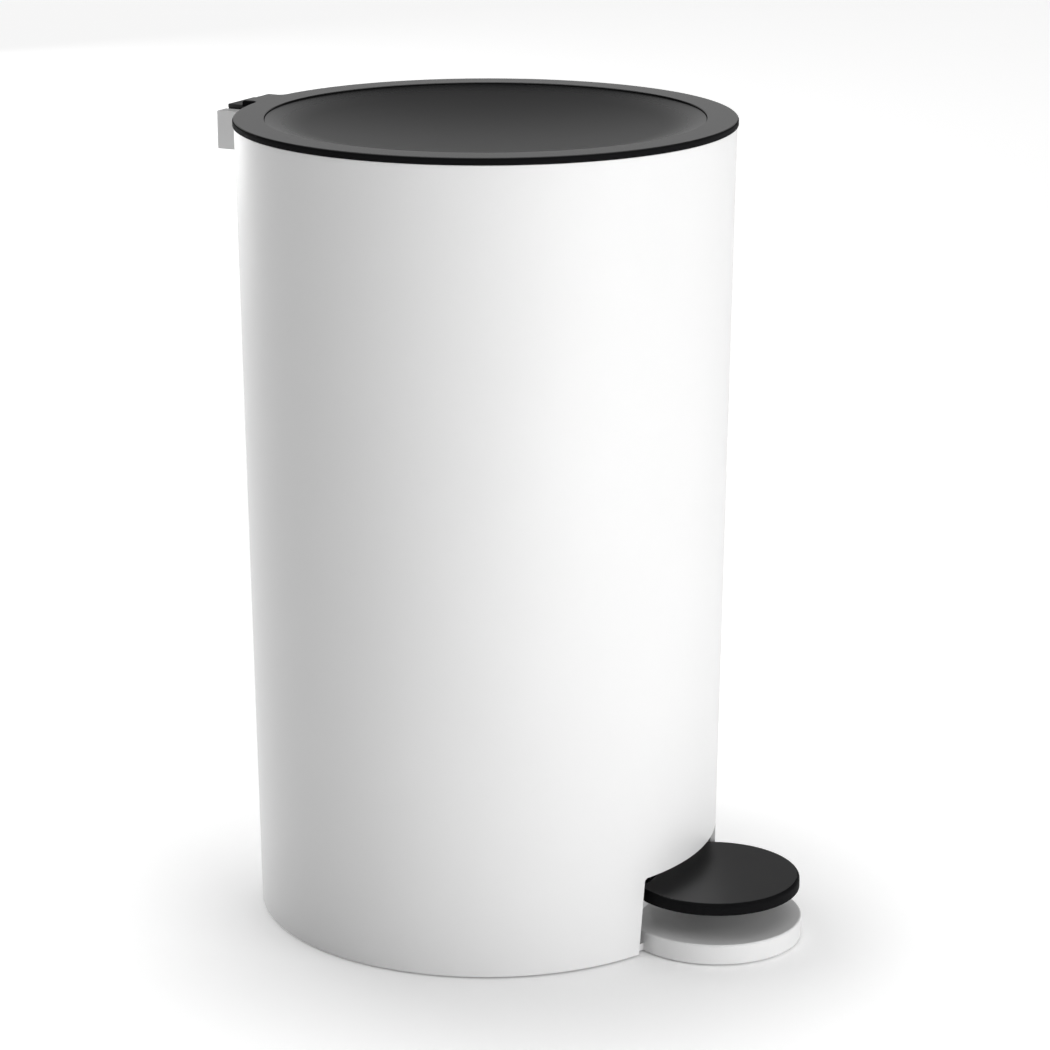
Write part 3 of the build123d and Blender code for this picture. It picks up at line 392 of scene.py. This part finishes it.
# Push rod with its two cross pins, zinc-plated strip, and the white hat-shaped cover
# welded to the rear wall, in which the rod slides up and down.
make_piece("rod_guide", softened("rod_cover", 0.4 * mm), white_polypropylene, "bin", "white_plastic",
           "rod_cover")
make_piece("push_strip", softened("push_rod", 0.3 * mm), zinc_steel, "push_rod", "zinc_steel", "push_rod")
make_piece("push_strip_pins", softened("rod_pins", 0.2 * mm), zinc_steel, "push_rod", "zinc_steel",
           "rod_pins")

# Hinge block behind the rim: white moulding with two cheeks, held by two screws from
# inside the shell, with a steel pin through both cheeks.
make_piece("hinge_block", softened("hinge_bracket", 0.4 * mm), white_polypropylene, "bin", "white_plastic",
           "hinge_bracket")
make_piece("hinge_rod", softened("hinge_pin", 0.3 * mm), zinc_steel, "bin", "zinc_steel", "hinge_pin")
wall_radius, screw_y, screw_z = 119.9 * mm, 17.2 * mm, 385 * mm
hinge_places = []
for side in (-1, 1):
    angle = math.asin(side * screw_y / wall_radius)
    outward = Vector((-math.cos(angle), math.sin(angle), 0))
    turn = outward.to_track_quat("Z", "Y").to_matrix().to_4x4()
    hinge_places.append(Matrix.Translation(outward * wall_radius + Vector((0, 0, screw_z))) @ turn)
make_screws("hinge_fixing_screws", hinge_places, 11 * mm, "bin", "hinge_screws")

# Inner bucket: grey polypropylene, tapered like the shell and flat at the back. It
# hangs by its flange on the ledge and is lifted out by its raised rim.

# Grey polypropylene: a plain mid grey, matt, slightly clouded where the melt flowed.
grey_polypropylene = empty_material("grey_polypropylene")
place = node(grey_polypropylene, "TexCoord").outputs["Object"]
flow_size, skin_size = 55 * mm, 0.8 * mm
flow = node(grey_polypropylene, "TexNoise", {"Vector": place, "Scale": 1 / flow_size, "Detail": 3.0})
tone = node(grey_polypropylene, "Mix", {"Factor": flow.outputs["Fac"], "A": linear("#8b8d8f"),
                                        "B": linear("#949698")}, data_type="RGBA")
fine = node(grey_polypropylene, "TexNoise", {"Vector": place, "Scale": 1 / skin_size, "Detail": 2.0})
skin = node(grey_polypropylene, "Bump", {"Height": fine.outputs["Fac"], "Strength": 0.2,
                                         "Distance": 0.04 * mm})
sheen = node(grey_polypropylene, "MapRange", {"Value": flow.outputs["Fac"], "To Min": 0.4, "To Max": 0.5})
shader = node(grey_polypropylene, "BsdfPrincipled", {
    "Base Color": tone.outputs["Result"], "Roughness": sheen.outputs["Result"], "IOR": 1.49,
    "Normal": skin.outputs["Normal"]})
node(grey_polypropylene, "OutputMaterial", {"Surface": shader.outputs["BSDF"]})

make_piece("bucket", softened("inner_bucket", 0.5 * mm), grey_polypropylene, "bin", "grey_plastic",
           "inner_bucket")

# Lid: charcoal polypropylene with a flat rim, a shallow dish, a tab over the hinge
# and a skirt below that centres it in the mouth of the shell.
lid_low, lid_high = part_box("lid")
lid_radius = lid_high.x
lid_underside = lid_high.z - 3.3 * mm
dish_radius, dish_depth, dish_step, dish_wall = lid_radius - 15.5 * mm, 10 * mm, 0.8 * mm, 2.5 * mm
skirt_radius, skirt_wall, skirt_depth = 117.3 * mm, 2 * mm, 6 * mm
tab_half, tab_blend = 12.5 * mm, 3 * mm
lid_edge_round, dish_lip_round, mould_round, lip_margin = 1.2 * mm, 0.7 * mm, 0.3 * mm, 1 * mm


def arc(bm, depth, low, steps):
    """Wire arc of a shallow bowl from the axis to the dish's edge; gives its last vertex."""
    sphere = (dish_radius ** 2 + depth ** 2) / (2 * depth)
    start = bm.verts.new((0, 0, low))
    swept = bmesh.ops.spin(bm, geom=[start], cent=(0, 0, low + sphere), axis=(0, 1, 0), steps=steps,
                           angle=-math.asin(dish_radius / sphere))
    return [v for v in swept["geom_last"] if isinstance(v, bmesh.types.BMVert)][0]


bm = bmesh.new()
dish_floor = lid_high.z - dish_depth
dish_bottom = dish_floor - dish_wall
last = arc(bm, dish_depth - dish_step, dish_floor, 28)
under = arc(bm, lid_underside - dish_bottom, dish_bottom, 28)
skirt_inside, skirt_foot = skirt_radius - skirt_wall, lid_underside - skirt_depth
for r, z in ((dish_radius, lid_high.z), (lid_radius, lid_high.z), (lid_radius, lid_underside),
             (skirt_radius, lid_underside), (skirt_radius, skirt_foot), (skirt_inside, skirt_foot),
             (skirt_inside, lid_underside)):
    corner = bm.verts.new((r, 0, z))
    bm.edges.new((last, corner))
    last = corner
bm.edges.new((last, under))
# As many columns as put the tab's two sides on columns of their own.
columns = 4 * round(2 * math.pi / math.asin(tab_half / lid_radius))
bmesh.ops.spin(bm, geom=bm.verts[:] + bm.edges[:], cent=(0, 0, 0), axis=(0, 0, 1), angle=2 * math.pi,
               steps=columns, use_merge=True)
bmesh.ops.remove_doubles(bm, verts=bm.verts, dist=0.001 * mm)
bmesh.ops.recalc_face_normals(bm, faces=bm.faces)
tab_root = []
for face in bm.faces:
    middle = face.calc_center_median()
    if middle.x < 0 and abs(middle.y) < tab_half and middle.xy.length > lid_radius - 0.2 * mm:
        tab_root.append(face)
grown = bmesh.ops.extrude_face_region(bm, geom=tab_root)
bmesh.ops.delete(bm, geom=tab_root, context="FACES")
for g in grown["geom"]:
    if isinstance(g, bmesh.types.BMVert):
        g.co.x = lid_low.x
bmesh.ops.recalc_face_normals(bm, faces=bm.faces)
roots = []
for edge in bm.edges:
    a, b = (v.co for v in edge.verts)
    upright = abs(a.z - b.z) > 3 * mm
    at_root = abs(abs(a.y) - tab_half) < 0.1 * mm and abs(a.xy.length - lid_radius) < 0.2 * mm
    if upright and at_root and a.x < 0:
        roots.append(edge)
bmesh.ops.bevel(bm, geom=roots, offset=tab_blend, segments=6, profile=0.5, affect="EDGES", material=-1)


def at_top(edge):
    """Whether both ends of an edge lie in the lid's top face."""
    return all(v.co.z > lid_high.z - 0.01 * mm for v in edge.verts)


def beyond(edge, radius):
    """Whether both ends of an edge lie farther than a radius from the lid's axis."""
    return all(v.co.xy.length > radius for v in edge.verts)


outer = [e for e in sharp_edges(bm) if at_top(e) and beyond(e, dish_radius + lip_margin)]
bmesh.ops.bevel(bm, geom=outer, offset=lid_edge_round, segments=5, profile=0.5, affect="EDGES", material=-1)
lip = [e for e in sharp_edges(bm) if at_top(e) and not beyond(e, dish_radius + lip_margin)]
bmesh.ops.bevel(bm, geom=lip, offset=dish_lip_round, segments=5, profile=0.5, affect="EDGES", material=-1)
rest = [e for e in sharp_edges(bm) if beyond(e, dish_radius - lip_margin)]
bmesh.ops.bevel(bm, geom=rest, offset=mould_round, segments=2, profile=0.5, affect="EDGES", material=-1)

# The same plastic, with a matt grain in the dish and a polished rim: the grain stops at
# the edge of the dish, and the polish grows over the last stretch before it.
lid_polypropylene = charcoal_polypropylene.copy()
lid_polypropylene.name = "charcoal_polypropylene_polished_rim"
polish_blend, grain_blend, rim_start = 22 * mm, 0.4 * mm, dish_radius + 0.2 * mm
flat = node(lid_polypropylene, "VectorMath", {0: node(lid_polypropylene, "TexCoord").outputs["Object"],
                                              1: (1.0, 1.0, 0.0)}, operation="MULTIPLY")
radius = node(lid_polypropylene, "VectorMath", {0: flat.outputs["Vector"]}, operation="LENGTH")
sheen = node(lid_polypropylene, "MapRange", {
    "Value": radius.outputs["Value"], "From Min": dish_radius - polish_blend, "From Max": rim_start,
    "To Min": 0.36, "To Max": 0.22}, interpolation_type="SMOOTHSTEP")
grain = node(lid_polypropylene, "MapRange", {
    "Value": radius.outputs["Value"], "From Min": dish_radius - grain_blend, "From Max": rim_start,
    "To Min": 0.25, "To Max": 0.05}, interpolation_type="SMOOTHSTEP")
for shading in lid_polypropylene.node_tree.nodes:
    if shading.type == "BSDF_PRINCIPLED":
        lid_polypropylene.node_tree.links.new(sheen.outputs["Result"], shading.inputs["Roughness"])
    if shading.type == "BUMP":
        lid_polypropylene.node_tree.links.new(grain.outputs["Result"], shading.inputs["Strength"])
lid_plate = make_piece("lid_plate", bm, lid_polypropylene, "lid", "charcoal_plastic", "lid")
# The lid's sides, up to a thin band under its top, get the painted shade.
unshaded_top_band = 0.3 * mm
paint_side_shade(lid_plate, lid_underside, lid_high.z - unshaded_top_band)

# Hinge arm of the lid: charcoal moulding screwed under the tab, with the knuckle on
# the pin and two crank arms that the push rod turns; three rubber studs soften the rim.
make_piece("hinge_arm", softened("lid_hinge_arm", 0.3 * mm), charcoal_polypropylene, "lid",
           "charcoal_plastic", "lid_hinge_arm")
make_piece("rim_studs", softened("lid_buffers", 0.2 * mm), rubber, "lid", "rubber", "lid_buffers")
lid_screw_low, lid_screw_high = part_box("lid_screws")
lid_seat = lid_screw_low.z + head_height
lid_screw_x, lid_screw_y = (lid_screw_low.x + lid_screw_high.x) / 2, 7 * mm
lid_places = [Matrix.Translation((lid_screw_x, y, lid_seat)) for y in (-lid_screw_y, lid_screw_y)]
make_screws("lid_fixing_screws", lid_places, 5.6 * mm, "lid", "lid_screws")

# Studio: a pale floor that glows faintly all round, as a lit paper sweep does, under a
# soft light from above; close round the bin its glow drops, a painted contact shadow. The main
# light and a low strip stand to the right in front, and a low light far behind on the left edges the shell.
floor_paint = empty_material("pale_studio_floor")
place = node(floor_paint, "TexCoord").outputs["Object"]
scuff_size, floor_half = 900 * mm, 12
scuff = node(floor_paint, "TexNoise", {"Vector": place, "Scale": 1 / scuff_size, "Detail": 2.0})
tone = node(floor_paint, "Mix", {"Factor": scuff.outputs["Fac"], "A": linear("#f9f9f9"),
                                 "B": linear("#fbfbfb")}, data_type="RGBA")
# The glow drops towards shade_centre: a painted contact shadow round the base of the bin.
shade_centre, shade_inner, shade_outer = (0.05, -0.03, 0.0), 0.06, 0.27
near_glow, far_glow = 0.04, 0.45
distance = node(floor_paint, "VectorMath", {0: place, 1: shade_centre}, operation="DISTANCE")
floor_glow_with_painted_shadow = node(floor_paint, "MapRange", {
    "Value": distance.outputs["Value"], "From Min": shade_inner, "From Max": shade_outer,
    "To Min": near_glow, "To Max": far_glow}, interpolation_type="SMOOTHSTEP")
shader = node(floor_paint, "BsdfPrincipled", {
    "Base Color": tone.outputs["Result"], "Roughness": 0.9, "Emission Color": linear("#ffffff"),
    "Emission Strength": floor_glow_with_painted_shadow.outputs["Result"]})
node(floor_paint, "OutputMaterial", {"Surface": shader.outputs["BSDF"]})
bm = bmesh.new()
bmesh.ops.create_grid(bm, x_segments=1, y_segments=1, size=floor_half)
mesh = bpy.data.meshes.new("floor")
bm.to_mesh(mesh)
bm.free()
mesh.materials.append(floor_paint)
floor = bpy.data.objects.new("floor", mesh)
bpy.context.scene.collection.objects.link(floor)

# Air of the studio: bright overhead, with a faint glow of the walls that is stronger
# behind the bin and ends below the overhead light.
world = bpy.data.worlds.new("studio_air")
world.use_nodes = True
world.node_tree.nodes.clear()
bpy.context.scene.world = world
overhead_glow, overhead_start, overhead_full = 1.0, 0.55, 0.9
backdrop_glow, backdrop_start, backdrop_full = 0.45, 0.2, 0.8
wall_glow, wall_fade, wall_top = 0.12, 0.2, 0.5
backdrop_heading = (-0.443, 0.8965, 0.0)
direction = node(world, "TexCoord").outputs["Generated"]
height = node(world, "SeparateXYZ", {"Vector": direction}).outputs["Z"]
overhead = node(world, "MapRange", {"Value": height, "From Min": overhead_start, "From Max": overhead_full,
                                    "To Max": overhead_glow}, interpolation_type="SMOOTHSTEP")
towards = node(world, "VectorMath", {0: direction, 1: backdrop_heading}, operation="DOT_PRODUCT")
backdrop = node(world, "MapRange", {
    "Value": towards.outputs["Value"], "From Min": backdrop_start, "From Max": backdrop_full,
    "To Min": wall_glow, "To Max": backdrop_glow}, interpolation_type="SMOOTHSTEP")
below = node(world, "MapRange", {"Value": height, "From Min": wall_fade, "From Max": wall_top,
                                 "To Min": 1.0, "To Max": 0.0}, interpolation_type="SMOOTHSTEP")
walls = node(world, "Math", {0: backdrop.outputs["Result"], 1: below.outputs["Result"]},
             operation="MULTIPLY")
glow = node(world, "Math", {0: overhead.outputs["Result"], 1: walls.outputs["Value"]}, operation="ADD")
air = node(world, "Background", {"Color": linear("#ffffff"), "Strength": glow.outputs["Value"]})
node(world, "OutputWorld", {"Surface": air.outputs["Background"]})


def soft_light(name, place, aim, width, height, power):
    """A rectangular soft box at a place, turned to a point; glossy faces don't mirror it."""
    box = bpy.data.lights.new(name, "AREA")
    box.shape, box.size, box.size_y, box.energy = "RECTANGLE", width, height, power
    lamp = bpy.data.objects.new(name, box)
    lamp.location = place
    lamp.rotation_mode = "QUATERNION"
    lamp.rotation_quaternion = (Vector(aim) - Vector(place)).to_track_quat("-Z", "Y")
    lamp.visible_glossy = False
    bpy.context.scene.collection.objects.link(lamp)


soft_light("main_light", place=(1.8, -0.55, 0.8), aim=(0, 0, 0.2), width=1.4, height=1.4, power=12)
soft_light("low_strip", place=(1.1, -0.4, 0.15), aim=(0.1, 0, 0.02), width=1.0, height=0.18, power=5.2)
soft_light("edge_light", place=(-2.65, 1.41, 0.2), aim=(0, 0, 0.2), width=1.5, height=0.3, power=60)

# Camera: where the photograph was taken from, with its focal length in pixels.
focal_pixels, picture_pixels = 3346.33, 1050
eye, gaze = (0.7495, -1.4431, 0.6628), Vector((-0.433, 0.8583, -0.2755))
lens = bpy.data.cameras.new("camera")
lens.sensor_width = 36
lens.lens = lens.sensor_width * focal_pixels / picture_pixels
camera = bpy.data.objects.new("camera", lens)
camera.location = eye
camera.rotation_mode = "QUATERNION"
camera.rotation_quaternion = gaze.to_track_quat("-Z", "Y")
bpy.context.scene.collection.objects.link(camera)
bpy.context.scene.camera = camera
bpy.context.scene.view_settings.view_transform = "Standard"
